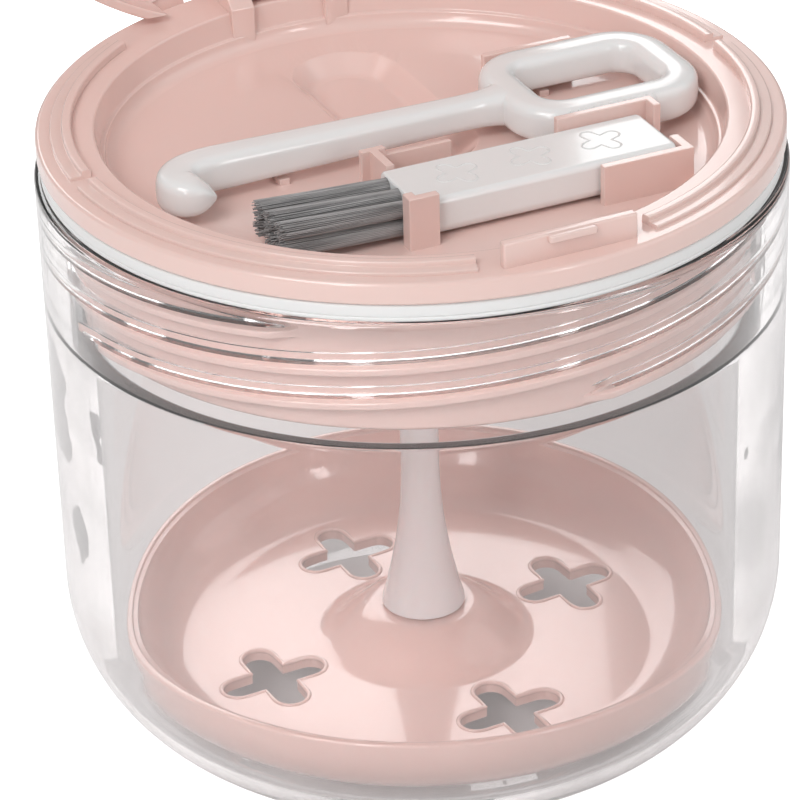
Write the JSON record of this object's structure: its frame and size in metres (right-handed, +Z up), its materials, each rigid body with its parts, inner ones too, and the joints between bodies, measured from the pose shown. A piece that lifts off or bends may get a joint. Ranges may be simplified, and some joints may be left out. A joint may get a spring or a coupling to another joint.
{
  "type": "retainer cleaning jar with brush",
  "caption": "Clear soaking jar with a screw lid, flip cover and lift-out basket; a brush and a hooked removal tool lie in the lid's tray.",
  "frame": {"origin": "centre of the jar's flat underside", "axes": "+Z up along the jar's axis; the cover's hinge is at +Y and its latch at -Y; the brush and the tool lie along X"},
  "size_m": [0.095, 0.1029, 0.1752],
  "materials": {
    "clear_plastic": "clear, polished, thick-walled",
    "silicone": "soft white silicone",
    "pink_plastic": "glossy pastel pink",
    "pearl_plastic": "glossy pearl white",
    "white_plastic": "glossy off-white",
    "bristle": "dark grey nylon filament",
    "steel": "plain wire"
  },
  "bodies": {
    "cup": {"cup": "clear_plastic"},
    "seal_ring": {"seal_ring": "silicone"},
    "lid": {"lid": "pink_plastic", "hinge_pin": "steel"},
    "cover": {"cover": "pink_plastic"},
    "basket": {"basket": "pink_plastic", "stem": "pearl_plastic"},
    "brush": {"brush_handle": "white_plastic", "bristle_tuft_1": "bristle", "bristle_tuft_2": "bristle", "bristle_tuft_3": "bristle", "bristle_tuft_4": "bristle", "bristle_tuft_5": "bristle", "bristle_tuft_6": "bristle", "tuft_anchor_1": "steel", "tuft_anchor_2": "steel", "tuft_anchor_3": "steel", "tuft_anchor_4": "steel", "tuft_anchor_5": "steel", "tuft_anchor_6": "steel"},
    "removal_tool": {"removal_tool": "white_plastic"}
  },
  "joints": [
    {"name": "lid_rise", "type": "slide", "parent": "cup", "child": "seal_ring", "axis": [0, 0, 1], "range_m": [0, 0.0181]},
    {"name": "lid_turn", "type": "hinge", "parent": "seal_ring", "child": "lid", "pos_m": [0, 0, 0.08], "axis": [0, 0, 1], "range_deg": [0, 360]},
    {"name": "cover_hinge", "type": "hinge", "parent": "lid", "child": "cover", "pos_m": [0, 0.0413, 0.0874], "axis": [-1, 0, 0], "range_deg": [-95, 0]},
    {"name": "basket_pull", "type": "slide", "parent": "lid", "child": "basket", "axis": [0, 0, -1], "range_m": [0, 0.0025]},
    {"name": "brush_lift", "type": "slide", "parent": "lid", "child": "brush", "axis": [0, 0, 1], "range_m": [0, 0.03]},
    {"name": "tool_lift", "type": "slide", "parent": "lid", "child": "removal_tool", "axis": [0, 0, 1], "range_m": [0, 0.03]}
  ],
  "couplings": [
    {"joint": "lid_rise", "follows": "lid_turn", "m_per_rad": 0.0028648}
  ]
}
